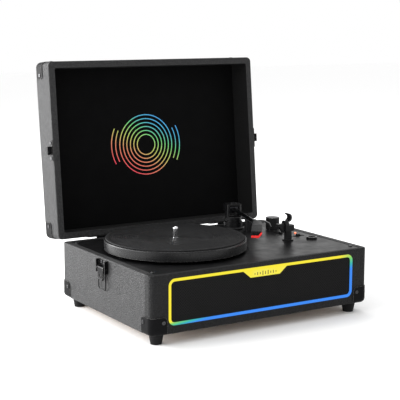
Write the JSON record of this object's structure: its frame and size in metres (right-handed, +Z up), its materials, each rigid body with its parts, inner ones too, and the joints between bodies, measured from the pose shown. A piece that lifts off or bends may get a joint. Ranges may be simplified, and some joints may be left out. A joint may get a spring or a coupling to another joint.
{
  "type": "suitcase record player",
  "caption": "Portable suitcase record player with hinged lid, belt-driven platter, pivoted tonearm, lit speaker grille, side latches and corner guards.",
  "frame": {"origin": "on the floor, under the middle of the opened object's overall box", "axes": "+X to the right along the front, +Y towards the back, +Z up; the lid is open"},
  "size_m": [0.3608, 0.3384, 0.3448],
  "materials": {
    "leatherette": "fine-grained black leatherette over board",
    "front_board": "dark leatherette-covered front",
    "inner_board": "unfinished fibreboard",
    "grille": "black woven mesh panel",
    "light_ring": "milky translucent light guide, lit in several colours",
    "badge": "plain yellow badge",
    "circuit": "green circuit board",
    "deck": "black fine-textured top plate",
    "black_plastic": "satin black moulded plastic",
    "gloss_black": "gloss black plastic",
    "grey_plastic": "dark grey moulded plastic",
    "red_plastic": "bright red plastic",
    "rubber": "black rubber",
    "felt": "black felt slip mat",
    "black_metal": "black lacquered pressed steel",
    "steel": "bare steel",
    "bright_metal": "polished plated metal",
    "platter_metal": "black painted pressed metal platter",
    "dark_tube": "dark anodised aluminium tube",
    "paper": "black pulp speaker cone",
    "lining": "black flocked lining",
    "emblem": "thin printed lines in a run of bright colours",
    "lamp": "red lamp lens"
  },
  "bodies": {
    "base": {"base_case": "leatherette", "bottom_panel": "inner_board", "front_panel": "front_board", "light_ring": "light_ring", "badge": "badge", "speaker_grille": "grille", "led_board": "circuit", "speaker_baffle": "inner_board", "speaker_baskets": "steel", "speaker_cones": "paper", "deck_plate": "deck", "deck_screws": "black_metal", "spindle_bearing": "steel", "spindle": "bright_metal", "thrust_washer": "grey_plastic", "circlip": "steel", "motor": "steel", "drive_belt": "rubber", "amp_board": "circuit", "pilot_lamp": "lamp", "headphone_jack": "gloss_black", "tonearm_base": "black_plastic", "cue_housing": "black_plastic", "arm_rest": "black_plastic", "jack_panel": "black_plastic", "audio_jacks": "bright_metal", "dc_inlet": "gloss_black", "feet": "rubber", "foot_screws": "steel", "base_guards": "black_metal", "base_screws": "steel", "latch_plates": "black_metal", "hinge_base_leaves": "black_metal", "steel_pins": "steel"},
    "lid": {"lid_shell": "leatherette", "lid_lining": "lining", "lid_emblem": "emblem", "lid_guards": "black_metal", "lid_catches": "black_metal", "lid_hinge_leaves": "black_metal", "lid_screws": "steel"},
    "platter": {"platter": "platter_metal", "slipmat": "felt"},
    "pulley": {"motor_pulley": "steel"},
    "turret": {"arm_turret": "black_plastic"},
    "arm": {"arm_tube": "dark_tube", "counterweight": "grey_plastic", "headshell": "grey_plastic", "cartridge": "gloss_black", "stylus": "red_plastic"},
    "cue_platform": {"cue_platform": "black_metal"},
    "cue_lever": {"cue_lever": "black_plastic"},
    "arm_clip": {"arm_clip": "gloss_black"},
    "volume_knob": {"volume_knob": "black_plastic"},
    "speed_switch": {"speed_switch": "grey_plastic"},
    "autostop_switch": {"autostop_switch": "grey_plastic"},
    "latch_lever_left": {"latch_lever_left": "black_metal"},
    "latch_bail_left": {"latch_bail_left": "black_metal"},
    "latch_lever_right": {"latch_lever_right": "black_metal"},
    "latch_bail_right": {"latch_bail_right": "black_metal"}
  },
  "joints": [
    {"name": "lid_hinge", "type": "hinge", "parent": "base", "child": "lid", "pos_m": [0, 0.09247, 0.0871], "axis": [-1, 0, 0], "range_deg": [-95.8, 0]},
    {"name": "platter_spin", "type": "hinge", "parent": "base", "child": "platter", "pos_m": [-0.062, -0.04034, 0.1], "axis": [0, 0, 1], "continuous": true},
    {"name": "pulley_spin", "type": "hinge", "parent": "base", "child": "pulley", "pos_m": [-0.11857, 0.01623, 0.1], "axis": [0, 0, 1], "continuous": true},
    {"name": "arm_swing", "type": "hinge", "parent": "base", "child": "turret", "pos_m": [0.093, 0.04967, 0.121], "axis": [0, 0, 1], "range_deg": [-20, 19.2]},
    {"name": "arm_lift", "type": "hinge", "parent": "turret", "child": "arm", "pos_m": [0.093, 0.04967, 0.121], "axis": [-0.95, 0.3123, 0], "range_deg": [-0.5, 8]},
    {"name": "cue_lever", "type": "hinge", "parent": "base", "child": "cue_lever", "pos_m": [0.11206, 0.02069, 0.104], "axis": [-1, 0, 0], "range_deg": [-3.8, 60.1]},
    {"name": "cue_platform", "type": "slide", "parent": "base", "child": "cue_platform", "axis": [0, 0, 1], "range_m": [-0.00027, 0.0042]},
    {"name": "arm_clip", "type": "hinge", "parent": "base", "child": "arm_clip", "pos_m": [0.1032, -0.06834, 0.1166], "axis": [0, -1, 0], "range_deg": [0, 80]},
    {"name": "volume_knob", "type": "hinge", "parent": "base", "child": "volume_knob", "pos_m": [0.142, 0.01566, 0.092], "axis": [0, 0, 1], "range_deg": [-160, 120]},
    {"name": "speed_switch", "type": "slide", "parent": "base", "child": "speed_switch", "axis": [1, 0, 0], "range_m": [-0.0045, 0.0045]},
    {"name": "autostop_switch", "type": "slide", "parent": "base", "child": "autostop_switch", "axis": [0, 1, 0], "range_m": [0, 0.008]},
    {"name": "latch_lever_left", "type": "hinge", "parent": "base", "child": "latch_lever_left", "pos_m": [-0.1764, -0.04133, 0.0794], "axis": [0, 1, 0], "range_deg": [0, 150]},
    {"name": "latch_bail_left", "type": "hinge", "parent": "latch_lever_left", "child": "latch_bail_left", "pos_m": [-0.1756, -0.04133, 0.0749], "axis": [0, -1, 0], "range_deg": [-178, 0]},
    {"name": "latch_lever_right", "type": "hinge", "parent": "base", "child": "latch_lever_right", "pos_m": [0.1764, -0.04133, 0.0794], "axis": [0, -1, 0], "range_deg": [0, 150]},
    {"name": "latch_bail_right", "type": "hinge", "parent": "latch_lever_right", "child": "latch_bail_right", "pos_m": [0.1756, -0.04133, 0.0749], "axis": [0, 1, 0], "range_deg": [-178, 0]}
  ],
  "couplings": [
    {"joint": "pulley_spin", "follows": "platter_spin", "ratio": 8.686},
    {"joint": "cue_lever", "follows": "arm_lift", "ratio": 7.5},
    {"joint": "cue_platform", "follows": "arm_lift", "m_per_rad": 0.03}
  ]
}
